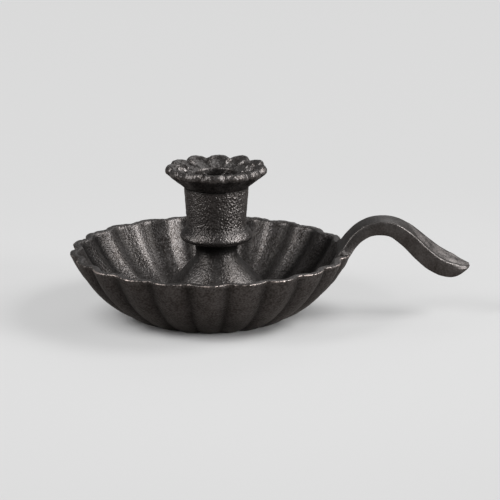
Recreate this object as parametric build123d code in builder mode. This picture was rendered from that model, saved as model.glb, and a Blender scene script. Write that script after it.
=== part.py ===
from build123d import *
import os
from math import acos, atan2, cos, degrees, hypot, radians, sin

# Chamberstick: a scalloped drip pan with a tail handle, a hollow bell stem, a candle socket
# and a loose scalloped bobeche, drawn together by one screw from below. Millimetres and degrees.
# +Z is up, the origin is on the table under the candle's middle, and the handle points along +X.

# Drip pan
pan_rim_radius = 73.2  # over the scallop crests
pan_offset = 3.2  # the pan's middle lies this far from the stem's, away from the handle
pan_height = 34.5
pan_foot_radius = 38.0
pan_wall_slope = 20.0  # where the wall leaves the foot
pan_wall = 3.5
pan_floor = 3.4
scallop_count = 22
rim_scallop_depth = 2.5
foot_scallop_depth = 1.2
rim_round = 0.8
foot_recess_radius = 30.0
foot_recess_depth = 1.0
pan_boss_wall = 4.8  # round the recess for the screw's head
pan_boss_web = 3.0  # metal between the washer and the top of the boss

# Stem
stem_height = 35.6
stem_neck_radius = 10.8
stem_neck_length = 7.2
stem_neck_round = 9.0
stem_shoulder_radius = 12.4
stem_shoulder_height = 2.4
stem_foot_edge = 5.0
stem_wall = 4.2
stem_crown = 14.0  # solid metal at the top of the bell
stem_foot_clearance = 0.6
register_radius = 7.0
register_height = 1.4
register_clearance = 0.15

# Candle socket
socket_height = 29.5
socket_mouth_radius = 16.7
socket_waist_radius = 15.3
socket_floor_web = 2.0  # metal over the tapped hole
flange_radius = 18.8
flange_nose = 1.3
flange_underside_rise = 1.5
flange_flare_height = 5.4

# Bobeche
bobeche_radius = 26.0  # over the petal tips
bobeche_height = 11.0
petal_count = 12
petal_notch_depth = 3.2
petal_root_depth = 0.4
petal_turn = 12.6
bobeche_lip_height = 3.6
bobeche_lip_width = 1.7
bobeche_lip_round = 0.6
dish_depth = 4.4
candle_radius = 11.1
spigot_wall = 1.9
spigot_length = 14.0
spigot_clearance = 0.25

# Handle
handle_length = 68.4  # from the rim's inner edge to the tip
handle_rise = 15.4  # the arch above the rim
handle_width = 19.2
handle_thickness = 9.4
handle_bevel = 1.0
tang_proud = 0.5
tang_foot_width = 9.0
seat_clearance = 0.1

# Fasteners
screw_radius = 3.0
screw_clearance = 0.4
screw_thread_gap = 0.05
screw_engagement = 5.0
screw_run_out = 1.0
screw_head_radius = 5.6
screw_head_height = 3.3
screw_slot_width = 1.6
screw_slot_depth = 1.7
screw_head_lift = 0.7  # the head stands this clear of the table
screw_head_room = 1.4
washer_radius = 5.8
washer_thickness = 1.4
washer_split = 1.3
rivet_radius = 2.0
rivet_head_radius = 3.4
rivet_head_depth = 1.4
rivet_gap = 0.05

overrun = 20.0  # how far a cut runs past what it cuts

# Outlines as shares of the piece that they belong to
wall_stations_shares = (0.0, 0.2, 0.4, 0.6, 0.8, 1.0)
# The handle's bar, root to tip: along, up, width and thickness
handle_shares = (
    (0.018, -0.20, 1.66, 0.62),
    (0.060, 0.11, 1.38, 0.60),
    (0.092, 0.31, 1.14, 0.60),
    (0.152, 0.585, 0.91, 0.64),
    (0.224, 0.775, 0.84, 0.70),
    (0.311, 0.845, 0.84, 0.76),
    (0.406, 0.79, 0.88, 0.83),
    (0.517, 0.51, 0.95, 0.96),
    (0.641, 0.03, 1.0, 1.04),
    (0.735, -0.30, 1.0, 1.04),
    (0.822, -0.49, 0.95, 0.97),
    (0.888, -0.555, 0.86, 0.74),
    (0.948, -0.55, 0.66, 0.38),
    (1.0, -0.505, 0.30, 0.10),
)
tang_share = 0.48  # how far up the wall the tang ends
rivet_shares = (0.84, 0.64)  # how far up the wall the rivets are
screw_head_round_share = 0.6
screw_tip_share = 0.25
washer_lean_share = 0.25

# The pan's wall is an arc that leaves the foot at its slope and ends on the rim
wall_chord = hypot(pan_rim_radius - pan_foot_radius, pan_height)
wall_half_turn = degrees(atan2(pan_height, pan_rim_radius - pan_foot_radius)) - pan_wall_slope
wall_arc_radius = wall_chord / 2 / sin(radians(wall_half_turn))
wall_rim_slope = pan_wall_slope + 2 * wall_half_turn
wall_centre_radius = pan_foot_radius - wall_arc_radius * sin(radians(pan_wall_slope))
wall_centre_height = wall_arc_radius * cos(radians(pan_wall_slope))
floor_slope = degrees(acos((wall_centre_height - pan_floor) / (wall_arc_radius - pan_wall)))


def wall_point(slope, depth=0.0):
    """Radius and height on the wall where it has this slope, depth inside its outer face."""
    reach = wall_arc_radius - depth
    return (
        wall_centre_radius + reach * sin(radians(slope)),
        wall_centre_height - reach * cos(radians(slope)),
    )


def wall_place(slope, depth=0.0):
    """X and height on the wall at the handle, as the wall point turned to that side."""
    radius, height = wall_point(slope, depth)
    return (radius - pan_offset, height)


def wall_slope_at(share):
    """Slope of the wall at a share of its turn from foot to rim."""
    return pan_wall_slope + share * (wall_rim_slope - pan_wall_slope)


def scallop_depth_at(slope):
    """Depth of the grooves between scallops, from the foot's to the rim's."""
    share = (slope - pan_wall_slope) / (wall_rim_slope - pan_wall_slope)
    return foot_scallop_depth + share * (rim_scallop_depth - foot_scallop_depth)


def scalloped_sketch(middle, crest_radius, depth, count, turn=0.0):
    """A closed ring of outward arcs that meet in grooves, the first groove at the turn angle."""
    pitch = 360 / count
    with BuildSketch(Plane(middle)) as ring:
        with BuildLine():
            for lobe in range(count):
                start = turn + lobe * pitch
                groove = crest_radius - depth
                ThreePointArc(
                    Vector(groove, 0).rotate(Axis.Z, start),
                    Vector(crest_radius, 0).rotate(Axis.Z, start + pitch / 2),
                    Vector(groove, 0).rotate(Axis.Z, start + pitch),
                )
        make_face()
    return ring.sketch


def petal_sketch(height, tip_radius, depth):
    """Ring of the bobeche's petals at one height."""
    return scalloped_sketch((0, 0, height), tip_radius, depth, petal_count, petal_turn)


def wall_sections(first_slope, inset, gap=0.0):
    """Scalloped sections of the wall's face that lies inset from the outer one, foot to rim."""
    sections = []
    for share in wall_stations_shares:
        slope = first_slope + share * (wall_rim_slope - first_slope)
        radius, height = wall_point(slope, inset)
        middle = (-pan_offset, 0, height)
        sections.append(scalloped_sketch(middle, radius + gap, scallop_depth_at(slope), scallop_count))
    return sections


# Heights of the stack, from the table up
washer_seat = screw_head_lift + screw_head_height + washer_thickness
boss_top = washer_seat + pan_boss_web
stem_top = pan_floor + stem_height
socket_top = stem_top + socket_height
bobeche_top = socket_top + bobeche_height

# Sizes that follow from what passes through or seats
screw_hole_radius = screw_radius + screw_clearance
spigot_radius = candle_radius + spigot_wall
socket_bore_radius = spigot_radius + spigot_clearance
screw_recess_radius = washer_radius + screw_head_room
pan_boss_radius = screw_recess_radius + pan_boss_wall
tapped_depth = screw_engagement + screw_run_out
socket_floor = tapped_depth + socket_floor_web
rivet_slopes = [wall_slope_at(share) for share in rivet_shares]
tang_slope = wall_slope_at(tang_share)


def rivet_plane(slope, proud=0.0):
    """Plane square to the wall at the handle, its Z pointing out of the wall."""
    along, height = wall_place(slope, -proud)
    outward = (sin(radians(slope)), 0, -cos(radians(slope)))
    return Plane(origin=(along, 0, height), x_dir=(0, 1, 0), z_dir=outward)


def rivet(slope, gap=0.0):
    """Countersunk rivet through tang and wall, or its hole where there is a gap round it."""
    face = rivet_plane(slope, tang_proud)
    with BuildPart() as body:
        with BuildSketch(face):
            Circle(rivet_radius + gap)
        extrude(amount=-tang_proud - rim_scallop_depth - 2 * pan_wall)
        with BuildSketch(face):
            Circle(rivet_head_radius + gap)
        with BuildSketch(face.offset(-rivet_head_depth)):
            Circle(rivet_radius + gap)
        loft()
    return body.part


# Drip pan: scalloped dish, flat foot with a recess, and a boss over the screw head
with BuildPart() as drip_pan:
    loft(sections=wall_sections(pan_wall_slope, 0.0))
    loft(sections=wall_sections(floor_slope, pan_wall), mode=Mode.SUBTRACT)
    fillet(drip_pan.faces().sort_by(Axis.Z)[-1].edges(), rim_round)
    with BuildSketch(Plane.XY.offset(pan_floor)):
        Circle(pan_boss_radius)
    extrude(amount=boss_top - pan_floor)
    with BuildSketch():
        with Locations((-pan_offset, 0)):
            Circle(foot_recess_radius)
    extrude(amount=foot_recess_depth, mode=Mode.SUBTRACT)
    with BuildSketch():
        Circle(screw_recess_radius)
    extrude(amount=washer_seat, mode=Mode.SUBTRACT)
    with BuildSketch():
        Circle(screw_hole_radius)
    extrude(amount=boss_top, mode=Mode.SUBTRACT)
    for slope in rivet_slopes:
        add(rivet(slope, rivet_gap), mode=Mode.SUBTRACT)
drip_pan.part.label = "drip_pan"

# Stem: a hollow bell that stands on the pan's floor and narrows to a neck
floor_radius = wall_point(floor_slope, pan_wall)[0]
stem_foot_radius = floor_radius - scallop_depth_at(floor_slope) - pan_offset - stem_foot_clearance
bell_foot = pan_floor + stem_foot_edge
bell_top = stem_top - stem_neck_length
bell_angle = atan2(bell_top - bell_foot, stem_foot_radius - stem_neck_radius)
bell_inset = stem_wall / sin(bell_angle)
hollow_top = stem_top - stem_crown
hollow_foot_radius = stem_foot_radius - bell_inset
hollow_top_radius = hollow_foot_radius - (hollow_top - bell_foot) * cos(bell_angle) / sin(bell_angle)
with BuildPart() as stem:
    with BuildSketch(Plane.XZ) as bell:
        with BuildLine():
            Polyline(
                (0, pan_floor),
                (stem_foot_radius, pan_floor),
                (stem_foot_radius, bell_foot),
                (stem_neck_radius, bell_top),
                (stem_neck_radius, stem_top - stem_shoulder_height),
                (stem_shoulder_radius, stem_top),
                (register_radius, stem_top),
                (register_radius, stem_top + register_height),
                (0, stem_top + register_height),
                close=True,
            )
        make_face()
        neck_corner = bell.vertices().sort_by_distance((stem_neck_radius, bell_top))[0]
        fillet(neck_corner, stem_neck_round)
    revolve(axis=Axis.Z)
    with BuildSketch(Plane.XZ):
        with BuildLine():
            Polyline(
                (0, pan_floor),
                (hollow_foot_radius, pan_floor),
                (hollow_foot_radius, bell_foot),
                (hollow_top_radius, hollow_top),
                (0, hollow_top),
                close=True,
            )
        make_face()
    revolve(axis=Axis.Z, mode=Mode.SUBTRACT)
    with BuildSketch(Plane.XY.offset(pan_floor)):
        Circle(screw_hole_radius)
    extrude(amount=stem_height + register_height, mode=Mode.SUBTRACT)
stem.part.label = "stem"

# Candle socket: a tapered cup on a rounded flange, tapped from below
nose_height = stem_top + flange_underside_rise + flange_nose
flare_foot = (flange_radius - flange_nose, nose_height + flange_nose)
flare_top = (socket_waist_radius, flare_foot[1] + flange_flare_height)
with BuildPart() as candle_socket:
    with BuildSketch(Plane.XZ):
        with BuildLine():
            Polyline(
                (0, stem_top),
                (stem_shoulder_radius, stem_top),
                (flange_radius - flange_nose, nose_height - flange_nose),
            )
            ThreePointArc(
                (flange_radius - flange_nose, nose_height - flange_nose),
                (flange_radius, nose_height),
                flare_foot,
            )
            TangentArc(flare_top, flare_foot, tangent=(0, -1))
            Polyline(
                flare_top,
                (socket_mouth_radius, socket_top),
                (socket_bore_radius, socket_top),
                (socket_bore_radius, stem_top + socket_floor),
                (0, stem_top + socket_floor),
                (0, stem_top),
            )
        make_face()
    revolve(axis=Axis.Z)
    with BuildSketch(Plane.XY.offset(stem_top)):
        Circle(register_radius + register_clearance)
    extrude(amount=register_height + register_clearance, mode=Mode.SUBTRACT)
    with BuildSketch(Plane.XY.offset(stem_top)):
        Circle(screw_radius + screw_thread_gap)
    extrude(amount=tapped_depth, mode=Mode.SUBTRACT)
candle_socket.part.label = "candle_socket"

# Bobeche: a scalloped drip dish on a spigot that drops into the socket
with BuildPart() as bobeche:
    loft(
        sections=[
            petal_sketch(socket_top, socket_mouth_radius, petal_root_depth),
            petal_sketch(bobeche_top - bobeche_lip_height, bobeche_radius, petal_notch_depth),
            petal_sketch(bobeche_top, bobeche_radius, petal_notch_depth),
        ],
        ruled=True,
    )
    loft(
        sections=[
            petal_sketch(bobeche_top - dish_depth, candle_radius + petal_root_depth, petal_root_depth),
            petal_sketch(bobeche_top, bobeche_radius - bobeche_lip_width, petal_notch_depth),
        ],
        ruled=True,
        mode=Mode.SUBTRACT,
    )
    fillet(bobeche.faces().sort_by(Axis.Z)[-1].edges(), bobeche_lip_round)
    with BuildSketch(Plane.XY.offset(socket_top)):
        Circle(spigot_radius)
    extrude(amount=-spigot_length)
    with BuildSketch(Plane.XY.offset(socket_top - spigot_length)):
        Circle(candle_radius)
    extrude(amount=spigot_length + bobeche_height, mode=Mode.SUBTRACT)
bobeche.part.label = "bobeche"

# Handle: an S-curved bar that stands on the rim, with a tang down the groove outside the wall
handle_root = wall_place(wall_rim_slope, pan_wall)[0] - rim_scallop_depth
with BuildLine():
    bar = Spline(
        *[
            (handle_root + along * handle_length, 0, pan_height + up * handle_rise)
            for along, up, width, thickness in handle_shares
        ]
    )


def bar_section(along, up, width, thickness):
    """Bevelled rectangle square to the bar's middle line."""
    middle = (handle_root + along * handle_length, 0, pan_height + up * handle_rise)
    with BuildSketch(Plane(middle, x_dir=(0, 1, 0), z_dir=bar.tangent_at(middle))) as section:
        Rectangle(width * handle_width, thickness * handle_thickness)
        chamfer(section.vertices(), thickness * handle_bevel)
    return section.sketch


tang_top = wall_place(wall_rim_slope, -tang_proud)
tang_middle = wall_place((wall_rim_slope + tang_slope) / 2, -tang_proud)
tang_end = wall_place(tang_slope, -tang_proud)
tang_back = wall_place(tang_slope, pan_wall)
tang_round = tang_end[1] + tang_foot_width / 2
with BuildPart() as handle:
    with BuildSketch(Plane.XZ.offset(handle_width)):
        with BuildLine():
            ThreePointArc(tang_top, tang_middle, tang_end)
            Polyline(tang_end, tang_back, (handle_root, pan_height), tang_top)
        make_face()
    extrude(amount=-2 * handle_width)
    with BuildSketch(Plane.YZ):
        with BuildLine():
            Polyline(
                (-tang_foot_width / 2, tang_round),
                (-handle_width / 2, pan_height),
                (handle_width / 2, pan_height),
                (tang_foot_width / 2, tang_round),
            )
            ThreePointArc(
                (tang_foot_width / 2, tang_round),
                (0, tang_end[1]),
                (-tang_foot_width / 2, tang_round),
            )
        make_face()
    extrude(amount=pan_rim_radius + overrun, mode=Mode.INTERSECT)
    loft(sections=[bar_section(*row) for row in handle_shares])
    loft(sections=wall_sections(pan_wall_slope, 0.0, seat_clearance), mode=Mode.SUBTRACT)
    for slope in rivet_slopes:
        add(rivet(slope, rivet_gap), mode=Mode.SUBTRACT)
handle.part.label = "handle"

# Handle rivets: heads flush with the tang, upset ends dressed flush with the inside of the wall
with BuildPart() as handle_rivets:
    for slope in rivet_slopes:
        add(rivet(slope))
    loft(sections=wall_sections(floor_slope, pan_wall), mode=Mode.SUBTRACT)
handle_rivets.part.label = "handle_rivets"

# Tie screw: slotted head in the recess under the pan, shank up into the socket's base
shank_foot = screw_head_lift + screw_head_height
shank_length = stem_top + screw_engagement - shank_foot
with BuildPart() as tie_screw:
    with BuildSketch(Plane.XY.offset(screw_head_lift)):
        Circle(screw_head_radius)
    extrude(amount=screw_head_height)
    fillet(tie_screw.edges().sort_by(Axis.Z)[0], screw_head_round_share * screw_head_height)
    with BuildSketch(Plane.XY.offset(shank_foot)):
        Circle(screw_radius)
    extrude(amount=shank_length)
    chamfer(tie_screw.edges().sort_by(Axis.Z)[-1], screw_tip_share * screw_radius)
    with BuildSketch(Plane.XY.offset(screw_head_lift)):
        Rectangle(2 * screw_head_radius, screw_slot_width)
    extrude(amount=screw_slot_depth, mode=Mode.SUBTRACT)
tie_screw.part.label = "tie_screw"

# Lock washer: a flattened spring ring with a slanted split
washer_foot = washer_seat - washer_thickness
washer_lean = washer_lean_share * washer_thickness
with BuildPart() as lock_washer:
    with BuildSketch(Plane.XY.offset(washer_foot)):
        Circle(washer_radius)
        Circle(screw_hole_radius, mode=Mode.SUBTRACT)
    extrude(amount=washer_thickness)
    with BuildSketch(Plane.YZ):
        with BuildLine():
            Polyline(
                (-washer_split / 2 - washer_lean, washer_foot),
                (washer_split / 2 - washer_lean, washer_foot),
                (washer_split / 2 + washer_lean, washer_seat),
                (-washer_split / 2 + washer_lean, washer_seat),
                close=True,
            )
        make_face()
    extrude(amount=washer_radius, mode=Mode.SUBTRACT)
lock_washer.part.label = "lock_washer"

pieces = (drip_pan, stem, candle_socket, bobeche, handle, handle_rivets, tie_screw, lock_washer)
os.makedirs("parts", exist_ok=True)
for piece in pieces:
    export_step(piece.part, f"parts/{piece.part.label}.step")
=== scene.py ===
import logging
import math
from dataclasses import astuple, dataclass, field, fields, replace
from enum import Enum
from functools import partial

import bpy
import numpy as np
from bpy.types import ID, Material, Node, NodeSocket, NodeTree, Object
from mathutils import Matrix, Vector


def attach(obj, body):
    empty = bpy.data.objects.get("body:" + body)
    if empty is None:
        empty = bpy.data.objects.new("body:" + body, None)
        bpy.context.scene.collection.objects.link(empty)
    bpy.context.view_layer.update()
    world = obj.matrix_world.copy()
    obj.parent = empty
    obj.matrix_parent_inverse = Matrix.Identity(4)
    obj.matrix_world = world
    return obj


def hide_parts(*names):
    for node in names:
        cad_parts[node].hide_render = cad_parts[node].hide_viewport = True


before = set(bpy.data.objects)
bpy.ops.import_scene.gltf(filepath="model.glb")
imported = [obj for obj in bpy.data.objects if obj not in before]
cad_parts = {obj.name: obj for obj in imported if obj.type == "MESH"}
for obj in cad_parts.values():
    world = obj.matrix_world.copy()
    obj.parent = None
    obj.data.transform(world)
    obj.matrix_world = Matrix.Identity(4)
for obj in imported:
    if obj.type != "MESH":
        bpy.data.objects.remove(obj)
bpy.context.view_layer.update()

MM = 0.001
# per-point values: wear, which below zero is painted shade, and grit
LAYERS = ("wear", "grit")
TINY = 1e-6
CORNER_LIMIT = 0.48
CORNER_STEPS = 9
LEAST_STEPS = 8
SEW_DISTANCE = 2e-6
CHIP_BIAS = 0.02
MIDDLE = 0.5
MIX_FIRST, MIX_SECOND, MIX_RESULT = 6, 7, 2
Colour = tuple[float, float, float]
Numbers = np.ndarray | float
Table = tuple[tuple[float, ...], ...]
Pair = tuple[float, float]
log = logging.getLogger("chamberstick")


class Body(Enum):
    """The rigid bodies that the pieces ride on."""

    HOLDER = "holder"
    DRIP_DISH = "drip_dish"


@dataclass(frozen=True)
class Station:
    """One point of a turned piece's section, in millimetres.

    The groove is how deep the line between two lobes lies under their crests, and the dip is how
    far it drops in height. Above zero, the wear value says how bright the edge is rubbed there;
    below zero it is painted shade that darkens the point towards a near-black colour. The grit is
    how much of the piece's sand grain shows, and soft is the share of a lobe that rounds off its
    grooves. Two more values paint shade: one into the grooves, the other along the middle of the
    lobes. The spacing is the length of the mesh's steps, and the corner is how far from the point
    its rounding starts.
    """

    radius: float
    height: float
    groove: float = 0.0
    dip: float = 0.0
    wear: float = 0.0
    grit: float = 1.0
    soft: float = 0.1
    # painted shade in the grooves and along the middle of the lobes
    grime: float = 0.0
    bed: float = 0.0
    spacing: float = 0.9
    corner: float = 0.0


def trace(stations: list[Station], closed: bool) -> np.ndarray:
    """Round a section's corners and divide it evenly.

    Args:
        stations: The section's points, counter-clockwise with the outer wall going up.
        closed: True where the last point joins the first.

    Returns:
        Rows of radius, height, groove, dip, wear (below zero, painted shade), grit, soft, painted
        shade in the grooves and painted shade along the lobes' middles.
    """
    given = np.array([astuple(station) for station in stations])
    spots, tails, corners = given[:, :2], given[:, 2:-1], given[:, -1]
    dense = []
    for index, (spot, tail, corner) in enumerate(zip(spots, tails, corners)):
        inner = closed or 0 < index < len(spots) - 1
        if corner <= 0.0 or not inner:
            dense.append([*spot, *tail])
            continue
        into, out = spots[index - 1] - spot, spots[(index + 1) % len(spots)] - spot
        run_in, run_out = np.linalg.norm(into), np.linalg.norm(out)
        reach = min(corner, CORNER_LIMIT * run_in, CORNER_LIMIT * run_out)
        first, last = spot + into / run_in * reach, spot + out / run_out * reach
        for step in np.linspace(0.0, 1.0, CORNER_STEPS):
            bend = (1 - step) ** 2 * first + 2 * step * (1 - step) * spot + step**2 * last
            dense.append([*bend, *tail])
    if closed:
        dense.append(dense[0])
    rows = np.array(dense)
    runs = np.linalg.norm(np.diff(rows[:, :2], axis=0), axis=1)
    density = 2.0 / (rows[1:, -1] + rows[:-1, -1])
    along = np.concatenate([[0.0], np.cumsum(np.maximum(runs, TINY) * density)])
    steps = max(LEAST_STEPS, int(math.ceil(along[-1])))
    places = np.linspace(0.0, along[-1], steps + 1)
    if closed:
        places = places[:-1]
    return np.stack([np.interp(places, along, column) for column in rows[:, :-1].T], axis=1)


def lobe_radius(
    crest: Numbers, groove: Numbers, soft: Numbers, angle: np.ndarray, half: float
) -> np.ndarray:
    """Radius of one outward arc between two grooves.

    Args:
        crest: Radius at the middle of the lobe, a number or a column with one for each row.
        groove: Depth of the grooves on both sides, in the same form.
        soft: Share of the half lobe that rounds off the groove, in the same form.
        angle: Angles from the middle of the lobe.
        half: Half the lobe's angle.

    Returns:
        Radii, one for each row and angle.
    """
    from_groove = 1.0 - np.abs(angle) / half
    eased = half - half * (np.sqrt(from_groove**2 + soft**2) - soft) / (np.sqrt(1.0 + soft**2) - soft)
    low = crest - groove
    lean = (crest**2 - low**2) / np.maximum(2.0 * (crest - low * math.cos(half)), TINY)
    bow = crest - lean
    inside = np.maximum(bow**2 - (lean * np.sin(eased)) ** 2, 0.0)
    return np.where(groove > TINY, lean * np.cos(eased) + np.sqrt(inside), crest)


def cubic(along: np.ndarray, values: np.ndarray, places: np.ndarray) -> np.ndarray:
    """Interpolate smoothly through values, each slope lying between those of its neighbours.

    Args:
        along: Where the values are, rising.
        values: The values.
        places: Where they are wanted.

    Returns:
        One value for each place.
    """
    run = np.diff(along)
    rise = np.diff(values) / run
    slope = np.empty_like(values)
    slope[1:-1] = (rise[:-1] * run[1:] + rise[1:] * run[:-1]) / (run[1:] + run[:-1])
    slope[0], slope[-1] = rise[0], rise[-1]
    index = np.clip(np.searchsorted(along, places, side="right") - 1, 0, len(run) - 1)
    step = run[index]
    t = (places - along[index]) / step
    return (
        values[index] * (1 + 2 * t) * (1 - t) ** 2
        + slope[index] * step * t * (1 - t) ** 2
        + values[index + 1] * t**2 * (3 - 2 * t)
        + slope[index + 1] * step * t**2 * (t - 1)
    )


@dataclass(frozen=True)
class CastSkin:
    """How a sand casting's surface departs from its pattern, in millimetres.

    The swell and the grain go from hollow to crest, the chip is how deep worn edges are broken, the
    seed is where in the noise the piece lies, and the shift is how far what lies outside a radius
    is moved along X.
    """

    swell: float
    swell_size: float
    grain: float
    grain_size: float
    chip: float = 0.0
    chip_size: float = 3.0
    seed: float = 0.0
    shift: float = 0.0
    shift_from: float = 16.0
    shift_to: float = 29.0


class NodeGraph:
    """Adds and links the nodes of one tree."""

    def __init__(self, tree: NodeTree) -> None:
        """Keep the tree and start empty."""
        self.tree = tree
        tree.nodes.clear()

    def add(self, kind: str, settings: dict | None = None, *terms: object, **inputs: object) -> Node:
        """Add a node.

        Args:
            kind: The node's type name.
            settings: Properties of the node itself.
            terms: Values or sockets for its first inputs, in order.
            inputs: Values or sockets for its inputs, by name with underscores for spaces.

        Returns:
            The new node.
        """
        node = self.tree.nodes.new(kind)
        for key, value in (settings or {}).items():
            setattr(node, key, value)
        for socket, value in zip(node.inputs, terms):
            self.feed(socket, value)
        for key, value in inputs.items():
            self.feed(node.inputs[key.replace("_", " ")], value)
        return node

    def feed(self, socket: NodeSocket, value: object) -> None:
        """Link a socket to another, or set its value.

        Args:
            socket: The input.
            value: A node, a socket, a number, a vector, or a colour without its alpha.
        """
        if isinstance(value, Node):
            value = value.outputs[0]
        if isinstance(value, NodeSocket):
            self.tree.links.new(value, socket)
        elif socket.type == "RGBA":
            socket.default_value = (*value, 1.0)
        else:
            socket.default_value = value

    def maths(self, operation: str, first: object, second: object, clamp: bool = False) -> Node:
        """Return one sum of two numbers."""
        return self.add("ShaderNodeMath", {"operation": operation, "use_clamp": clamp}, first, second)

    def times(self, first: object, second: object) -> Node:
        """Return the product of two numbers."""
        return self.maths("MULTIPLY", first, second)

    def plus(self, base: object, value: object, factor: object, clamp: bool = False) -> Node:
        """Return a number plus a share of another."""
        return self.maths("ADD", base, self.times(value, factor), clamp)

    def vectors(self, operation: str, *terms: object) -> NodeSocket:
        """Return one sum of vectors."""
        node = self.add("ShaderNodeVectorMath", {"operation": operation}, *terms)
        return node.outputs["Value" if operation == "LENGTH" else "Vector"]

    def noise(self, place: NodeSocket, scale: object, detail: float, rough: float = 0.5) -> Node:
        """Return smooth noise about zero, from minus a half to a half."""
        node = self.add("ShaderNodeTexNoise", Vector=place, Scale=scale, Detail=detail, Roughness=rough)
        return self.maths("SUBTRACT", node, MIDDLE)

    def fade(self, value: object, start: object, end: object, high: float = 1.0) -> Node:
        """Return a number that eases from zero to high while a value goes from start to end."""
        settings = {"interpolation_type": "SMOOTHSTEP"}
        return self.add("ShaderNodeMapRange", settings, value, start, end, 0.0, high)

    def mix(self, share: object, first: object, second: object) -> NodeSocket:
        """Mix two colours.

        Args:
            share: How much of the second there is.
            first: One colour.
            second: The other colour.

        Returns:
            The mixed colour.
        """
        node = self.add("ShaderNodeMix", {"data_type": "RGBA"}, share)
        self.feed(node.inputs[MIX_FIRST], first)
        self.feed(node.inputs[MIX_SECOND], second)
        return node.outputs[MIX_RESULT]

    def metal(self, height: object, **inputs: object) -> None:
        """Make a bumped metal the material's surface.

        Args:
            height: The relief, in metres.
            inputs: The shader's other inputs, named as for add.
        """
        bump = self.add("ShaderNodeBump", Height=height, Distance=1.0)
        shader = self.add("ShaderNodeBsdfPrincipled", Normal=bump, **inputs)
        self.add("ShaderNodeOutputMaterial", Surface=shader)


def new_material(name: str) -> tuple[Material, NodeGraph]:
    """Make a material.

    Args:
        name: Its name.

    Returns:
        The material and its empty node tree.
    """
    made = bpy.data.materials.new(name)
    made.use_nodes = True
    return made, NodeGraph(made.node_tree)


def add_object(name: str, data: ID) -> Object:
    """Put a mesh, light or camera in the scene.

    Args:
        name: The object's name.
        data: What it holds.

    Returns:
        The linked object.
    """
    obj = bpy.data.objects.new(name, data)
    bpy.context.scene.collection.objects.link(obj)
    return obj


class TurnTree:
    """Geometry nodes that repeat one lobe round the axis and give it a cast surface."""

    def __init__(self) -> None:
        """Build the tree once for all castings."""
        self.tree = bpy.data.node_groups.new("turned_casting", "GeometryNodeTree")
        kinds = {"Geometry": "Geometry", "Lobes": "Int", "First Angle": "Float", "Material": "Material"}
        kinds |= {part.name: "Float" for part in fields(CastSkin)}
        face = self.tree.interface
        self.sockets = {
            name: face.new_socket(name, in_out="INPUT", socket_type=f"NodeSocket{kind}").identifier
            for name, kind in kinds.items()
        }
        face.new_socket("Geometry", in_out="OUTPUT", socket_type="NodeSocketGeometry")
        self.graph = graph = NodeGraph(self.tree)
        self.given = graph.add("NodeGroupInput").outputs
        self.spot = graph.add("GeometryNodeInputPosition")
        whole = self._turned()
        for offset in (self._skin(), self._shift()):
            whole = graph.add("GeometryNodeSetPosition", Geometry=whole, Offset=offset)
        smooth = graph.add("GeometryNodeSetShadeSmooth", Geometry=whole)
        dressed = graph.add("GeometryNodeSetMaterial", Geometry=smooth, Material=self.given["Material"])
        graph.add("NodeGroupOutput", Geometry=dressed)

    def _turned(self) -> Node:
        """Repeat the lobe round the axis and sew the copies together.

        Returns:
            The whole surface.
        """
        graph, given = self.graph, self.given
        points = graph.add("GeometryNodeMeshLine", Count=given["Lobes"], Offset=(0.0, 0.0, 0.0))
        pitch = graph.maths("DIVIDE", math.tau, given["Lobes"])
        index = graph.add("GeometryNodeInputIndex")
        spin = graph.add("ShaderNodeCombineXYZ", Z=graph.plus(given["First Angle"], index, pitch))
        copies = graph.add(
            "GeometryNodeInstanceOnPoints", Points=points, Instance=given["Geometry"], Rotation=spin
        )
        whole = graph.add("GeometryNodeRealizeInstances", Geometry=copies)
        return graph.add("GeometryNodeMergeByDistance", Geometry=whole, Distance=SEW_DISTANCE)

    def _skin(self) -> NodeSocket:
        """Work out the relief along the normal: long swells, sand grain and chipped edges.

        Returns:
            How far each point moves.
        """
        graph, given = self.graph, self.given
        place = graph.vectors("ADD", self.spot, given["seed"])
        wear, grit = (
            graph.add("GeometryNodeInputNamedAttribute", {"data_type": "FLOAT"}, Name=name)
            for name in LAYERS
        )

        def layer(name: str, detail: float, rough: float = 0.5) -> Node:
            """Return the noise of a layer, at the scale of its size."""
            return graph.noise(place, graph.maths("DIVIDE", 1.0, given[f"{name}_size"]), detail, rough)

        swell = graph.times(layer("swell", detail=1.5), given["swell"])
        grain = graph.times(layer("grain", detail=1.0), given["grain"])
        chips = graph.maths("ADD", layer("chip", detail=2.0, rough=0.6), CHIP_BIAS, clamp=True)
        chips = graph.times(graph.times(chips, graph.maths("MAXIMUM", wear, 0.0)), given["chip"])
        depth = graph.maths("SUBTRACT", graph.plus(swell, grain, grit), chips)
        return graph.vectors("MULTIPLY", graph.add("GeometryNodeInputNormal"), depth)

    def _shift(self) -> Node:
        """Work out the shift of what lies outside a radius, easing in from a smaller one.

        Returns:
            How far each point moves.
        """
        graph, given = self.graph, self.given
        away = graph.vectors("LENGTH", graph.vectors("MULTIPLY", self.spot, (1.0, 1.0, 0.0)))
        share = graph.fade(away, given["shift_from"], given["shift_to"])
        return graph.add("ShaderNodeCombineXYZ", X=graph.times(share, given["shift"]))

    def apply(self, obj: Object, lobes: int, first: float, skin: CastSkin, finish: Material) -> None:
        """Run the tree on one lobe's object and keep the result as its plain mesh.

        Args:
            obj: The object that holds one lobe.
            lobes: How many there are round the axis.
            first: Angle of the first one's middle, in radians.
            skin: The cast surface.
            finish: The material of the whole piece.
        """
        modifier = obj.modifiers.new("turned_casting", "NODES")
        modifier.node_group = self.tree
        values = {"Lobes": lobes, "First Angle": first, "Material": finish}
        values |= {part.name: getattr(skin, part.name) * MM for part in fields(skin)}
        for name, value in values.items():
            modifier[self.sockets[name]] = value
        obj.update_tag()
        depsgraph = bpy.context.evaluated_depsgraph_get()
        depsgraph.update()
        made = bpy.data.meshes.new_from_object(
            obj.evaluated_get(depsgraph), preserve_all_data_layers=True, depsgraph=depsgraph
        )
        made.name = obj.name
        obj.modifiers.clear()
        obj.data = made


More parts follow.
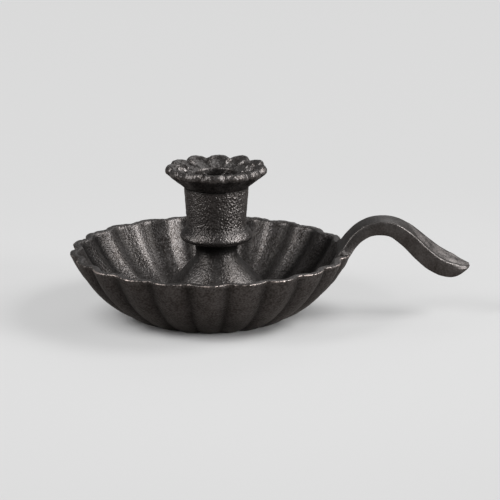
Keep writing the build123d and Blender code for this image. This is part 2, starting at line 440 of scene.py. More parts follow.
def mesh_object(
    name: str, points: np.ndarray, faces: list[tuple[int, ...]], wear: np.ndarray, grit: np.ndarray
) -> Object:
    """Make a mesh object with its wear, painted shade and grit stored on its points.

    Args:
        name: The piece's name.
        points: Places in millimetres.
        faces: Corners of each face, outward.
        wear: How far each point is rubbed bright or, below zero, darkened by painted shade.
        grit: How much sand grain each point shows.

    Returns:
        The linked object.
    """
    mesh = bpy.data.meshes.new(name)
    mesh.from_pydata((points * MM).tolist(), [], faces)
    for layer_name, values in zip(LAYERS, (wear, grit)):
        layer = mesh.attributes.new(layer_name, "FLOAT", "POINT")
        layer.data.foreach_set("value", np.asarray(values, dtype=np.float32))
    mesh.update()
    return add_object(name, mesh)


def grid_faces(rows: int, columns: int, rows_close: bool, columns_close: bool) -> list[tuple[int, ...]]:
    """List the quads of a grid of points, row by row.

    Args:
        rows: Points along the section.
        columns: Points across it.
        rows_close: True where the last row joins the first.
        columns_close: True where the last column joins the first.

    Returns:
        Corners of each quad.
    """
    faces = []
    for i in range(rows if rows_close else rows - 1):
        below = (i + 1) % rows
        for j in range(columns if columns_close else columns - 1):
            beside = (j + 1) % columns
            near, far = i * columns, below * columns
            faces.append((near + j, near + beside, far + beside, far + j))
    return faces


@dataclass(frozen=True)
class IronFinish:
    """Seasoned cast iron: a dark skin, sand grain, and metal that shows on rubbed edges.

    Sizes and depths are in millimetres. The bare values say where wear turns to bare metal: its
    level is broken by mottle and grain, counted from a threshold and raised by a gain. Below zero
    the wear value is painted shade, which darkens the colour towards a near-black shade colour and
    makes the surface duller.
    """

    name: str
    dark: Colour = (0.056, 0.049, 0.0455)
    light: Colour = (0.138, 0.129, 0.126)
    worn: Colour = (0.50, 0.43, 0.40)
    # near-black colour of the painted shade
    soot: Colour = (0.004, 0.0035, 0.003)
    metallic: float = 0.85
    gleam: float = 0.4
    smooth: float = 0.30
    rough: float = 0.46
    grain_size: float = 0.9
    grain_depth: float = 0.10
    grain_tone: float = 1.8
    speck_rate: float = 2.3
    speck_gloss: float = 0.5
    speck_share: float = 0.25
    pit_size: float = 1.6
    pit_depth: float = 0.0
    pit_round: float = 0.6
    mottle_size: float = 7.0
    mottle_tone: float = 1.5
    bare_mottle: float = 1.6
    bare_grain: float = 0.9
    bare_from: float = 0.92
    bare_gain: float = 3.4
    patchy: float = 1.0
    soot_dull: float = 0.4
    soot_power: float = 3.0

    def material(self) -> Material:
        """Build the node material.

        Returns:
            The material.
        """
        made, graph = new_material(self.name)
        place = graph.add("ShaderNodeTexCoord").outputs["Object"]
        wear, grit = (
            graph.add("ShaderNodeAttribute", {"attribute_name": name}).outputs["Fac"] for name in LAYERS
        )
        mottle = graph.noise(place, 1.0 / (self.mottle_size * MM), detail=3.0, rough=0.6)
        grain = graph.noise(place, 1.0 / (self.grain_size * MM), detail=1.0, rough=0.45)
        speck = graph.noise(place, self.speck_rate / (self.grain_size * MM), detail=0.0)
        pits = graph.add(
            "ShaderNodeTexVoronoi",
            {"feature": "SMOOTH_F1"},
            Vector=place,
            Scale=1.0 / (self.pit_size * MM),
            Smoothness=self.pit_round,
        )
        # painted shade: where wear is below zero the body colour darkens towards the shade colour
        unshaded = graph.maths("ADD", wear, 1.0, clamp=True)
        tone = graph.plus(MIDDLE, mottle, self.mottle_tone)
        tone = graph.plus(tone, grain, self.grain_tone, clamp=True)
        body = graph.mix(unshaded, self.soot, graph.mix(tone, self.dark, self.light))
        broken = graph.plus(graph.times(mottle, self.bare_mottle), grain, self.bare_grain)
        level = graph.maths("SUBTRACT", graph.plus(wear, broken, self.patchy), self.bare_from)
        bare = graph.maths("MULTIPLY", level, self.bare_gain, clamp=True)
        sheen = graph.plus(graph.maths("ADD", mottle, MIDDLE), speck, self.speck_gloss)
        gloss = graph.add("ShaderNodeMapRange", Value=sheen, To_Min=self.smooth, To_Max=self.rough)
        # the painted shade also raises the roughness
        shade_weight = graph.maths("POWER", graph.maths("SUBTRACT", 1.0, unshaded), self.soot_power)
        relief = graph.times(grain, self.grain_depth * MM)
        relief = graph.plus(relief, speck, self.speck_share * self.grain_depth * MM)
        relief = graph.plus(relief, pits, self.pit_depth * MM)
        graph.metal(
            graph.times(relief, grit),
            Base_Color=graph.mix(bare, body, self.worn),
            Metallic=self.metallic,
            Roughness=graph.plus(gloss, shade_weight, self.soot_dull, clamp=True),
            Specular_IOR_Level=self.gleam,
        )
        return made


@dataclass
class Casting:
    """An iron piece: one lobe, repeated round the axis. Round pieces have lobes without grooves."""

    name: str
    slot: str
    skin: CastSkin
    finish: IronFinish
    body: Body = Body.HOLDER
    lobes: int = 16
    columns: int = 20
    turn: float = 0.0
    crease: float = 1.0
    closed: bool = True

    def section(self) -> list[Station]:
        """Return the section's points."""
        raise NotImplementedError

    def lobe(self) -> Object:
        """Make the mesh of one lobe, its middle on the X axis.

        Returns:
            The linked object.
        """
        columns = trace(self.section(), self.closed).T[..., None]
        crest, level, groove, dip, wear, grit, soft, grime, bed = columns
        half = math.pi / self.lobes
        angle = np.linspace(-half, half, self.columns + 1)
        radius = lobe_radius(crest, groove, soft, angle, half)
        share = np.clip((crest - radius) / np.maximum(groove, TINY), 0.0, 1.0)
        height = level - dip * share**self.crease
        points = np.stack([radius * np.cos(angle), radius * np.sin(angle), height], axis=2)
        # paint shade into the grooves and along the middle of the lobes by lowering the wear value
        wear = wear - grime * share**2 - bed * (1.0 - share) ** 2
        faces = grid_faces(len(crest), len(angle), self.closed, False)
        grit = np.repeat(grit, len(angle))
        return mesh_object(self.name, points.reshape(-1, 3), faces, wear.reshape(-1), grit)

    def settle(self, points: np.ndarray) -> None:
        """Move the whole piece's points where it is cast unevenly; most pieces stay as they are."""

    def build(self, tree: TurnTree) -> None:
        """Make the whole piece, dress it and put it in the place of its solid.

        Args:
            tree: The nodes that repeat the lobe.
        """
        obj = self.lobe()
        first = math.radians(self.turn) + math.pi / self.lobes
        tree.apply(obj, self.lobes, first, self.skin, self.finish.material())
        places = np.empty(3 * len(obj.data.vertices))
        obj.data.vertices.foreach_get("co", places)
        self.settle(places.reshape(-1, 3))
        obj.data.vertices.foreach_set("co", places)
        obj.data.update()
        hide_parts(self.name)
        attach(obj, self.body.value)
        log.info("%s: %d faces", self.name, len(obj.data.polygons))


@dataclass
class DripPan(Casting):
    """The scalloped dish on its flat foot."""

    name: str = "drip_pan"
    slot: str = "pan_iron"
    skin: CastSkin = CastSkin(swell=0.36, swell_size=12.0, grain=0.18, grain_size=2.2, chip=2.0, shift=-3.2)
    finish: IronFinish = IronFinish("pan_iron", grain_size=1.0, grain_depth=0.30, grain_tone=2.8)
    lobes: int = 22
    columns: int = 26
    soft_outside: float = 0.14
    soft_inside: float = 1.0
    # painted shade: darkens the middle of the inner flutes and the outer grooves
    inside_bed: float = 0.7
    outside_grime: float = 0.6
    offset: float = 3.2
    rim_radius: float = 73.2
    height: float = 35.0
    foot_radius: float = 37.1
    foot_slope: float = 20.0
    wall: float = 3.5
    floor: float = 3.4
    rim_groove: float = 2.9
    foot_groove: float = 2.3
    rim_round: float = 0.8
    rim_ease: float = 1.8
    rim_wave: float = 0.12
    wave_reach: float = 5.0
    bright_reach: float = 1.25
    edge_lean: float = 0.4
    wall_rows: int = 24
    recess_radius: float = 30.0
    recess_depth: float = 1.0
    recess_bevel: float = 0.6
    boss_radius: float = 12.0
    boss_top: float = 8.4
    boss_margin: float = 4.0
    screw_hole: float = 3.4
    screw_recess: float = 7.2
    screw_seat: float = 5.4
    flute_drift: float = 1.45

    def __post_init__(self) -> None:
        """Work out the wall's arc from the foot, its slope there and the rim."""
        run = self.rim_radius - self.foot_radius
        self.low_slope = slope = math.radians(self.foot_slope)
        half_turn = math.atan2(self.height, run) - slope
        self.arc = math.hypot(run, self.height) / 2.0 / math.sin(half_turn)
        self.rim_slope = slope + 2.0 * half_turn
        self.centre = (self.foot_radius - self.arc * math.sin(slope), self.arc * math.cos(slope))

    def wall_point(self, slope: float, inset: float) -> Pair:
        """Return radius and height on the wall's arc, inset from its outer face."""
        reach = self.arc - inset
        return (self.centre[0] + reach * math.sin(slope), self.centre[1] - reach * math.cos(slope))

    def slope_at(self, height: float, inset: float) -> float:
        """Return the wall's slope where a face of it reaches a height."""
        return math.acos((self.centre[1] - height) / (self.arc - inset))

    def groove_at(self, slope: float) -> float:
        """Return the depth of the grooves at a slope of the wall."""
        share = (slope - self.low_slope) / (self.rim_slope - self.low_slope)
        return self.foot_groove + share * (self.rim_groove - self.foot_groove)

    def wall_stations(self, low: float, high: float, inset: float, **dress: float) -> list[Station]:
        """List stations up one face of the wall. The rim waves: it rises at the grooves.

        Args:
            low: The wall's slope at the first one.
            high: The wall's slope at the last one.
            inset: How far the face lies inside the outer one.
            dress: What else each station says.

        Returns:
            The stations, from the foot up.
        """
        made = []
        for slope in np.linspace(low, high, self.wall_rows):
            radius, height = self.wall_point(slope, inset)
            near = max(0.0, 1.0 - (self.height - height) / self.wave_reach)
            made.append(Station(radius, height, self.groove_at(slope), -self.rim_wave * near, **dress))
        return made

    def section(self) -> list[Station]:
        """List the closed section, from the screw's hole out and back over the rim.

        Returns:
            The stations.
        """
        outer = self.wall_stations(
            self.low_slope, self.rim_slope, 0.0, soft=self.soft_outside, grime=self.outside_grime
        )
        low, high = (self.slope_at(level, self.wall) for level in (self.floor, self.height))
        inner = self.wall_stations(low, high, self.wall, soft=self.soft_inside, bed=self.inside_bed)
        edge = replace(outer[-1], wear=1.0, grime=0.0, corner=self.rim_round, spacing=0.4)
        radius, height, reach = edge.radius, edge.height, self.bright_reach
        beside = partial(replace, edge, corner=0.0)
        under_edge = beside(radius=radius - self.edge_lean, height=height - reach, wear=0.2)
        over_edge = beside(radius=radius - reach, wear=0.25)
        outer[-1:] = [under_edge, edge, over_edge]
        inner[-1] = replace(inner[-1], wear=0.2, bed=0.0, corner=self.rim_ease, spacing=0.5)
        coarse = partial(Station, spacing=3.0)
        under = [
            coarse(self.screw_hole, self.screw_seat),
            coarse(self.screw_recess, self.screw_seat),
            coarse(self.screw_recess, self.recess_depth, corner=0.5),
            coarse(self.recess_radius, self.recess_depth),
            Station(self.recess_radius + self.recess_bevel, 0.0, spacing=1.2, corner=0.5),
        ]
        over = [
            coarse(self.boss_radius + self.boss_margin, self.floor),
            coarse(self.boss_radius, self.floor),
            coarse(self.boss_radius, self.boss_top, corner=0.8),
            coarse(self.screw_hole, self.boss_top),
        ]
        return under + outer + inner[::-1] + over

    def settle(self, points: np.ndarray) -> None:
        """Let the flutes drift round the back, where the casting's pattern is uneven.

        Args:
            points: Rows of X, Y and Z in metres, moved in place.
        """
        x, y, _ = points.T
        aside = x + self.offset * MM
        radius, turn = np.hypot(aside, y), np.arctan2(y, aside)
        turn -= math.radians(self.flute_drift) * (1.0 + np.sin(turn))
        x[:], y[:] = radius * np.cos(turn) - self.offset * MM, radius * np.sin(turn)


@dataclass
class Stem(Casting):
    """The hollow bell between the pan and the socket."""

    name: str = "stem"
    slot: str = "stem_iron"
    skin: CastSkin = CastSkin(swell=0.36, swell_size=9.0, grain=0.20, grain_size=1.9, seed=310.0)
    finish: IronFinish = IronFinish("stem_iron", grain_size=1.1, grain_depth=0.30, smooth=0.31, rough=0.45)
    foot_radius: float = 32.1
    foot_edge: float = 5.0
    base: float = 3.4
    top: float = 39.0
    neck_radius: float = 10.8
    neck_length: float = 7.2
    neck_round: float = 4.05
    neck_wear: float = -0.92
    shoulder_radius: float = 12.4
    shoulder_height: float = 2.4
    wall: float = 5.6
    crown: float = 14.0
    register_radius: float = 7.0
    register_height: float = 1.4
    screw_hole: float = 3.4

    def section(self) -> list[Station]:
        """List the closed section, from the hollow's foot out and back over the top.

        Returns:
            The stations.
        """
        bell_top = self.top - self.neck_length
        bell_foot = self.base + self.foot_edge
        fall = (self.foot_radius - self.neck_radius) / (bell_top - bell_foot)
        hollow_top = self.top - self.crown
        hollow_radius = self.foot_radius - self.wall - (hollow_top - bell_foot) * fall
        coarse, fine = partial(Station, spacing=3.0), partial(Station, spacing=0.55)
        return [
            coarse(self.screw_hole, hollow_top),
            coarse(hollow_radius, hollow_top),
            coarse(self.foot_radius - self.wall, bell_foot),
            coarse(self.foot_radius - self.wall, self.base),
            fine(self.foot_radius, self.base),
            fine(self.foot_radius, bell_foot, wear=0.3, corner=0.6),
            # painted shade: the bell's top and the neck lie in the flange's shadow
            fine(self.neck_radius, bell_top, wear=-0.55, corner=self.neck_round),
            fine(self.neck_radius, self.top - self.shoulder_height, wear=self.neck_wear, corner=1.2),
            fine(self.shoulder_radius, self.top, wear=self.neck_wear),
            coarse(self.register_radius, self.top),
            coarse(self.register_radius, self.top + self.register_height),
            coarse(self.screw_hole, self.top + self.register_height),
        ]


@dataclass
class CandleSocket(Casting):
    """The pitted cup with a rounded flange at its foot.

    The flange's form has rows of inset, rise, wear and grit. Below zero the wear is painted shade:
    under the flange and in the fillet above it.
    """

    name: str = "candle_socket"
    slot: str = "socket_iron"
    skin: CastSkin = CastSkin(swell=0.28, swell_size=7.0, grain=0.72, grain_size=0.9, seed=570.0)
    finish: IronFinish = IronFinish(
        "socket_iron", grain_size=0.8, grain_depth=0.4, pit_size=1.1, pit_depth=0.15, smooth=0.25, rough=0.38
    )
    columns: int = 22
    closed: bool = False
    base: float = 39.0
    height: float = 29.5
    mouth_radius: float = 16.7
    mouth_wear: float = -0.8
    mouth_lean: float = 0.1
    mouth_band: float = 2.0
    bore_radius: float = 13.25
    floor: float = 8.0
    tapped_radius: float = 3.05
    tapped_depth: float = 6.0
    register_radius: float = 7.15
    register_depth: float = 1.55
    seat_radius: float = 12.4
    flange_radius: float = 18.8
    flange_form: Table = (
        (2.9, 0.8, -0.8, 0.5),
        (0.9, 1.7, 0.1, 0.5),
        (0.0, 2.7, 0.55, 0.8),
        (-0.1, 3.9, 0.3, 0.8),
        (0.5, 5.3, -0.1, 0.8),
        (1.7, 6.8, -0.25, 0.7),
        (2.9, 7.9, -0.5, 0.9),
        (3.4, 9.4, -0.35, 1.0),
        (3.4, 12.0, 0.0, 1.0),
    )

    def section(self) -> list[Station]:
        """List the section, from the tapped hole's end round to the cup's floor.

        Returns:
            The stations.
        """
        top = self.base + self.height
        coarse, fine = partial(Station, spacing=2.0), partial(Station, spacing=0.4)
        return [
            coarse(0.0, self.base + self.tapped_depth),
            coarse(self.tapped_radius, self.base + self.tapped_depth),
            coarse(self.tapped_radius, self.base + self.register_depth),
            coarse(self.register_radius, self.base + self.register_depth),
            coarse(self.register_radius, self.base),
            coarse(self.seat_radius, self.base),
            # below zero the flange's wear is painted shade, under the flange and in its fillet
            *(
                fine(self.flange_radius - inset, self.base + rise, wear=worn, grit=grit, corner=0.7)
                for inset, rise, worn, grit in self.flange_form
            ),
            fine(self.mouth_radius - self.mouth_lean, top - self.mouth_band),
            # painted shadow at the cup's mouth, where the bobeche sits over it
            fine(self.mouth_radius, top, wear=self.mouth_wear, grit=0.3, corner=0.2),
            coarse(self.bore_radius, top, wear=self.mouth_wear),
            coarse(self.bore_radius, self.base + self.floor, corner=1.0),
            coarse(0.0, self.base + self.floor),
        ]


@dataclass
class Bobeche(Casting):
    """The loose petalled dish whose spigot drops into the socket."""

    name: str = "bobeche"
    slot: str = "bobeche_iron"
    body: Body = Body.DRIP_DISH
    skin: CastSkin = CastSkin(
        swell=0.24, swell_size=6.0, grain=0.40, grain_size=1.5, chip=0.5, chip_size=1.8, seed=830.0
    )
    finish: IronFinish = IronFinish(
        "bobeche_iron", grain_size=1.2, grain_depth=0.24, mottle_size=3.0, mottle_tone=2.2
    )
    lobes: int = 12
    columns: int = 36
    turn: float = 12.6
    crease: float = 3.0
    base: float = 68.5
    height: float = 11.1
    tip_radius: float = 26.5
    seat_radius: float = 16.7
    notch: float = 3.3
    root_notch: float = 0.4
    lip_height: float = 4.0
    lip_lean: float = 0.3
    lip_slant: float = 1.3
    lip_fall: float = 0.4
    lip_width: float = 2.2
    lip_round: float = 0.7
    lip_dip: float = 0.9
    lip_wear: float = 0.66
    dish_depth: float = 3.9
    bend_inset: float = 6.5
    bend_depth: float = 2.1
    bend_round: float = 3.0
    flute: float = 2.0
    ridge: float = 1.6
    root_ridge: float = 0.5
    root_run: float = 3.0
    root_rise: float = 0.5
    hole_ring: float = 1.1
    hole_wear: float = 0.5
    bore_radius: float = 11.1
    spigot_radius: float = 13.0
    spigot_length: float = 14.0
    back_petal: float = 87.6
    petal_spread: float = 0.09
    front_fill: float = 0.8
    fill_spread: Pair = (0.4, 1.3)
    lip_soft: float = 0.25
    petal_rises: tuple[float, ...] = (0.2, 0.6, *(0.0,) * 7, 0.5, 0.8, 1.1)

    def section(self) -> list[Station]:
        """List the closed section, down the spigot's bore and out over the lip.

        Returns:
            The stations.
        """
        top = self.base + self.height
        dish, foot = top - self.dish_depth, self.base - self.spigot_length
        tip, bore = self.tip_radius, self.bore_radius
        inner_lip = tip - self.lip_slant - self.lip_width
        coarse, fine = partial(Station, spacing=1.6), partial(Station, spacing=0.5)
        lip = Station(
            tip, top, self.notch, self.lip_dip, soft=self.lip_soft, spacing=0.4, corner=self.lip_round
        )
        return [
            fine(bore, dish, wear=self.hole_wear, corner=0.5),
            coarse(bore, foot),
            coarse(self.spigot_radius, foot),
            coarse(self.spigot_radius, self.base),
            fine(self.seat_radius, self.base, self.root_notch, corner=0.4),
            replace(lip, radius=tip - self.lip_lean, height=top - self.lip_height, wear=self.lip_wear),
            replace(lip, height=top - self.lip_height / 2.0, wear=0.48),
            replace(lip, radius=tip - self.lip_slant, wear=self.lip_wear),
            replace(lip, radius=inner_lip, height=top - self.lip_fall, wear=0.3),
            fine(
                tip - self.bend_inset, top - self.bend_depth, self.flute, -self.ridge, corner=self.bend_round
            ),
            fine(bore + self.root_run, dish + self.root_rise, self.root_notch, -self.root_ridge, corner=1.2),
            fine(bore + self.hole_ring, dish, wear=self.hole_wear),
        ]

    def settle(self, points: np.ndarray) -> None:
        """Spread the petals and lift some tips at the back, and let them run together at the front.

        Args:
            points: Rows of X, Y and Z in metres, moved in place.
        """
        x, y, z = points.T
        radius = np.hypot(x, y)
        turn = np.arctan2(y, x) - math.radians(self.back_petal)
        place = np.mod(turn, math.tau) * self.lobes / math.tau
        petal = np.rint(place)
        aside = place - petal
        middle = np.cos(math.pi * aside) ** 2
        outward = np.clip((radius / MM - self.seat_radius) / (self.tip_radius - self.seat_radius), 0.0, 1.0)
        rises = np.array(self.petal_rises)[petal.astype(int) % self.lobes]
        z += rises * MM * middle * outward**2
        half = math.pi / self.lobes
        wavy = lobe_radius(self.tip_radius, self.notch, self.lip_soft, aside * 2.0 * half, half)
        ripple = self.tip_radius - wavy
        start, gain = self.fill_spread
        filled = self.front_fill * np.clip(start - gain * np.cos(turn), 0.0, 1.0) * outward
        radius = radius + filled * ripple * MM
        z += filled * ripple / self.notch * self.lip_dip * MM
        spread = turn + self.petal_spread * np.sin(turn) * outward + math.radians(self.back_petal)
        x[:], y[:] = radius * np.cos(spread), radius * np.sin(spread)


@dataclass
class Handle(Casting):
    """The S-curved tail: a bevelled bar on a middle line, with a tang down the pan's wall.

    The bar is one lobe, and its turn takes back the half lobe that build adds. The tang has rows of
    the wall's slope in degrees, share of the width and height over the wall. The shares have rows
    of parts of the length, rise, width and thickness.
    """

    name: str = "handle"
    slot: str = "handle_iron"
    skin: CastSkin = CastSkin(swell=0.32, swell_size=9.0, grain=0.10, grain_size=2.0, chip=0.5)
    finish: IronFinish = IronFinish(
        "handle_iron",
        worn=(0.46, 0.42, 0.405),
        grain_depth=0.14,
        grain_tone=1.2,
        smooth=0.36,
        rough=0.52,
        mottle_size=9.0,
        patchy=0.5,
    )
    lobes: int = 1
    turn: float = -180.0
    pan: DripPan = field(default_factory=DripPan)
    base: float = 34.5
    length: float = 68.4
    rise: float = 15.4
    width: float = 19.2
    thickness: float = 9.4
    round_over: float = 0.9
    round_limit: float = 0.4
    crown: float = 0.25
    under_wear: float = 0.45
    edge_fade: float = 0.7
    # rubbed-metal colour on the upper face: partly wear, partly painted light that brightens the top face
    hand_rub: float = 1.03
    rub_from: float = 0.22
    rub_run: float = 16.0
    twist: float = 6.5
    twist_from: float = 0.30
    # painted shade on the root, where it meets the pan's rim
    root_soot: float = 0.55
    soot_reach: float = 12.0
    tang: Table = (
        (46.0, 0.30, -0.3),
        (52.0, 0.50, -0.2),
        (58.0, 0.72, -0.15),
        (63.0, 1.0, -0.1),
    )
    shares: Table = (
        (0.030, -0.07, 1.38, 0.60),
        (0.060, 0.11, 1.22, 0.58),
        (0.092, 0.31, 1.06, 0.59),
        (0.152, 0.585, 0.91, 0.64),
        (0.224, 0.775, 0.84, 0.70),
        (0.311, 0.845, 0.84, 0.76),
        (0.406, 0.80, 0.88, 0.81),
        (0.517, 0.515, 0.95, 0.88),
        (0.641, 0.03, 1.0, 0.93),
        (0.735, -0.30, 1.0, 0.94),
        (0.822, -0.49, 0.95, 0.88),
        (0.888, -0.555, 0.86, 0.74),
        (0.948, -0.55, 0.66, 0.38),
        (0.985, -0.525, 0.42, 0.17),
        (1.0, -0.505, 0.22, 0.08),
    )
    tang_bite: float = 0.4
    steps: int = 300
    arc_points: int = 5
    face_places: tuple[float, ...] = (0.12, 0.3, 0.5, 0.7, 0.88)

    def knots(self) -> np.ndarray:
        """Place the bar's knots on the pan's wall and beyond its rim.

        Returns:
            Rows of X, Z, width and thickness along the middle line, tang first.
        """
        pan, rows = self.pan, []
        for slope, share, proud in self.tang:
            angle = math.radians(slope)
            depth = proud + pan.groove_at(angle) * math.sin(angle) + self.tang_bite
            radius, height = pan.wall_point(angle, depth / 2.0 - proud)
            rows.append((radius - pan.offset, height, share * self.width, depth))
        inside = pan.slope_at(pan.height, pan.wall)
        root = pan.wall_point(inside, pan.wall)[0] - pan.rim_groove - pan.offset
        start = np.array([root, self.base, 0.0, 0.0])
        spans = np.array([self.length, self.rise, self.width, self.thickness])
        return np.concatenate([np.array(rows), start + np.array(self.shares) * spans])

    def middle_line(self) -> tuple[np.ndarray, np.ndarray]:
        """Draw a smooth line through the knots.

        Returns:
            Rows of X, Z, width and thickness, and the line's direction at each.
        """
        knots = self.knots()
        runs = np.linalg.norm(np.diff(knots[:, :2], axis=0), axis=1)
        along = np.concatenate([[0.0], np.cumsum(runs)])
        places = np.linspace(0.0, along[-1], self.steps)
        rows = np.stack([cubic(along, column, places) for column in knots.T], axis=1)
        heading = np.gradient(rows[:, :2], axis=0)
        heading /= np.linalg.norm(heading, axis=1)[:, None]
        return rows, heading

    def outline(self, width: float, thickness: float) -> np.ndarray:
        """Trace a rounded, slightly crowned rectangle.

        Args:
            width: Its width.
            thickness: Its thickness.

        Returns:
            Rows of across, up, wear and upper face.
        """
        turn = min(self.round_over, self.round_limit * thickness, self.round_limit * width)
        half, deep = width / 2.0 - turn, thickness / 2.0 - turn
        corners = ((half, -deep), (half, deep), (-half, deep), (-half, -deep))
        made = []
        for corner, (x, y) in enumerate(corners):
            edge = 1.0 if corner in (1, 2) else self.under_wear
            for step in np.linspace(0.0, 1.0, self.arc_points):
                angle = math.radians(90.0 * (corner - 1 + step))
                worn = edge * (1.0 - self.edge_fade * abs(2.0 * step - 1.0))
                made.append([x + turn * math.cos(angle), y + turn * math.sin(angle), worn, 0.0])
            far_x, far_y = corners[(corner + 1) % 4]
            face = math.radians(90.0 * corner)
            for share in self.face_places:
                bulge = turn + self.crown * 4.0 * share * (1.0 - share)
                across = x + (far_x - x) * share + bulge * math.cos(face)
                up = y + (far_y - y) * share + bulge * math.sin(face)
                made.append([across, up, 0.0, float(corner == 1)])
        return np.array(made)

    def bar(self) -> tuple[np.ndarray, np.ndarray]:
        """Sweep the outline along the middle line, with its roll, its wear, painted shade at the root and
        painted light on the upper face.

        Returns:
            The rings of points, and the wear, painted light and painted shade of each point.
        """
        rows, heading = self.middle_line()
        root = self.pan.rim_radius - self.pan.offset
        rings, worn = [], []
        for (x, z, wide, shade_weight), (dx, dz) in zip(rows, heading):
            across, up, edge, upper = self.outline(wide, shade_weight).T
            out = x - root
            past = (out / self.length - self.twist_from) / (1.0 - self.twist_from)
            roll = math.radians(self.twist) * math.sin(math.pi * min(max(past, 0.0), 1.0))
            cos, sin = math.cos(roll), math.sin(roll)
            across, up = across * cos + up * sin, up * cos - across * sin
            rings.append(np.stack([x - dz * up, -across, z + dx * up], axis=1))
            # painted shade at the root, and the upper face's rub that is partly painted light
            soot = self.root_soot * max(0.0, 1.0 - abs(out) / self.soot_reach)
            lit_rub = self.hand_rub * min(max((out - self.rub_from * self.length) / self.rub_run, 0.0), 1.0)
            worn.append(edge + lit_rub * upper - soot)
        return np.array(rings), np.concatenate(worn)

    def lobe(self) -> Object:
        """Make the mesh of the whole bar, closed at both ends.

        Returns:
            The linked object.
        """
        rings, worn = self.bar()
        count, columns, _ = rings.shape
        faces = grid_faces(count, columns, False, True)
        faces.append(tuple(range(columns - 1, -1, -1)))
        faces.append(tuple(range((count - 1) * columns, count * columns)))
        faces = [face[::-1] for face in faces]
        return mesh_object(self.name, rings.reshape(-1, 3), faces, worn, np.ones(len(worn)))


@dataclass(frozen=True)
class SteelFinish:
    """Blackened steel of the small fasteners."""

    name: str
    colour: Colour = (0.16, 0.15, 0.145)
    faded: Colour = (0.072, 0.0675, 0.06525)
    smooth: float = 0.3
    rough: float = 0.5
    cloud_size: float = 2.0
    cloud_tone: float = 1.4
    cloud_depth: float = 0.03

    def material(self) -> Material:
        """Build the node material.

        Returns:
            The material.
        """
        made, graph = new_material(self.name)
        place = graph.add("ShaderNodeTexCoord").outputs["Object"]
        cloud = graph.noise(place, 1.0 / (self.cloud_size * MM), detail=3.0)
        tone = graph.plus(MIDDLE, cloud, self.cloud_tone, clamp=True)
        gloss = graph.add("ShaderNodeMapRange", Value=tone, To_Min=self.smooth, To_Max=self.rough)
        graph.metal(
            graph.times(cloud, self.cloud_depth * MM),
            Base_Color=graph.mix(tone, self.faded, self.colour),
            Metallic=1.0,
            Roughness=gloss,
        )
        return made


def dress_node(node: str, finish: SteelFinish | IronFinish) -> None:
    """Give a solid that stays as it is a better finish.

    Args:
        node: The solid's name.
        finish: Its finish.
    """
    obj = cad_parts[node]
    obj.data.materials.clear()
    obj.data.materials.append(finish.material())
    log.info("%s: dressed as it is", node)


@dataclass(frozen=True)
class SoftBox:
    """One rectangular light that faces the object.

    Side is in degrees to the right of the camera and up in degrees above the floor.
    """

    name: str
    side: float
    up: float
    size: Pair
    watts: float

    def hang(self, away: float) -> None:
        """Hang the light.

        Args:
            away: Its distance in metres.
        """
        lamp = bpy.data.lights.new(self.name, "AREA")
        lamp.shape = "RECTANGLE"
        lamp.size, lamp.size_y = self.size
        lamp.energy = self.watts
        turn, tilt = math.radians(self.side), math.radians(self.up)
        level = math.cos(tilt)
        place = Vector((math.sin(turn) * level, -math.cos(turn) * level, math.sin(tilt))) * away
        obj = add_object(self.name, lamp)
        obj.location = place
        obj.rotation_euler = (-place).to_track_quat("-Z", "Y").to_euler()


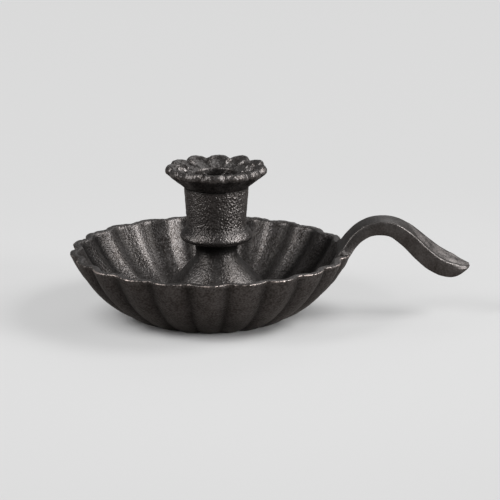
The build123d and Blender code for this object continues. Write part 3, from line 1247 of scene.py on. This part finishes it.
@dataclass
class Studio:
    """Pale floor, soft lights and the photograph's view."""

    floor_shade: Colour = (0.65, 0.65, 0.65)
    bounce_shade: Colour = (0.27, 0.250, 0.237)
    paper_shade: Colour = (0.71, 0.71, 0.71)
    paper_share: float = 0.62
    shadow_reach: Pair = (0.042, 0.072)
    shadow_shape: tuple[float, float, float] = (0.98, 1.2, 1.0)
    even_share: float = 0.30
    even_reach: Pair = (0.14, 0.36)
    floor_reach: float = 4.0
    boxes: tuple[SoftBox, ...] = (
        SoftBox("right", 84.0, 43.0, (1.5, 1.2), 72.0),
        SoftBox("left", -64.0, 43.0, (1.0, 1.1), 42.0),
        SoftBox("back", 164.0, 40.0, (1.3, 1.3), 9.0),
        SoftBox("right_low", 70.0, 12.0, (0.9, 0.9), 66.0),
        SoftBox("left_low", -70.0, 12.0, (0.9, 0.9), 20.0),
    )
    box_distance: float = 3.0
    room_light: float = 0.14
    elevation: float = 14.7
    distance: float = 1.2
    aim: tuple[float, float, float] = (0.0174, 0.0, 0.0343)
    scale_mm_per_pixel: float = 0.5205
    pixels: int = 500
    sensor: float = 36.0

    def build(self) -> None:
        """Make the floor, the lights, the world and the camera."""
        self.floor()
        for box in self.boxes:
            box.hang(self.box_distance)
        self.world()
        self.camera()
        bpy.context.scene.view_settings.view_transform = "Standard"

    def floor(self) -> None:
        """Lay a wide pale floor of paper that shines for the camera, but not near the foot."""
        reach = self.floor_reach
        mesh = bpy.data.meshes.new("floor")
        corners = [(-reach, -reach, 0.0), (reach, -reach, 0.0), (reach, reach, 0.0), (-reach, reach, 0.0)]
        mesh.from_pydata(corners, [], [(0, 1, 2, 3)])
        paint, graph = new_material("floor_paper")
        seen = graph.add("ShaderNodeLightPath").outputs["Is Camera Ray"]
        tone = graph.mix(seen, self.bounce_shade, self.floor_shade)
        lit = graph.add("ShaderNodeBsdfDiffuse", Color=tone)
        paper = graph.add("ShaderNodeEmission", Color=self.paper_shade)
        place = graph.add("ShaderNodeTexCoord").outputs["Object"]
        oval = graph.vectors("LENGTH", graph.vectors("MULTIPLY", place, self.shadow_shape))
        near = graph.fade(oval, *self.shadow_reach, high=self.paper_share)
        far = graph.fade(graph.vectors("LENGTH", place), *self.even_reach, high=self.even_share)
        share = graph.times(seen, graph.maths("ADD", near, far))
        both = graph.add("ShaderNodeMixShader", None, share, lit, paper)
        graph.add("ShaderNodeOutputMaterial", Surface=both)
        mesh.materials.append(paint)
        obj = add_object("floor", mesh)

    def world(self) -> None:
        """Fill the room with a little even light."""
        room = bpy.data.worlds.new("room")
        room.use_nodes = True
        graph = NodeGraph(room.node_tree)
        sky = graph.add("ShaderNodeBackground", Color=(1.0, 1.0, 1.0), Strength=self.room_light)
        graph.add("ShaderNodeOutputWorld", Surface=sky)
        bpy.context.scene.world = room

    def camera(self) -> None:
        """Set the camera to the photograph's height and framing."""
        lens = bpy.data.cameras.new("camera")
        lens.sensor_width = self.sensor
        lens.lens = self.distance / MM / self.scale_mm_per_pixel * self.sensor / self.pixels
        obj = add_object("camera", lens)
        tilt = math.radians(self.elevation)
        obj.location = Vector(self.aim) + Vector((0.0, -math.cos(tilt), math.sin(tilt))) * self.distance
        obj.rotation_euler = (math.radians(90.0 - self.elevation), 0.0, 0.0)
        bpy.context.scene.camera = obj


def main() -> None:
    """Build every piece, dress it and set the studio."""
    logging.basicConfig(level=logging.INFO, format="%(name)s %(message)s")
    tree = TurnTree()
    for piece in (DripPan(), Stem(), CandleSocket(), Bobeche(), Handle()):
        piece.build(tree)
    dress_node("handle_rivets", IronFinish("rivet_iron", grain_size=0.7, grain_depth=0.05))
    dress_node("tie_screw", SteelFinish("screw_steel"))
    dress_node("lock_washer", SteelFinish("washer_steel"))
    Studio().build()


if __name__ == "__main__":
    main()
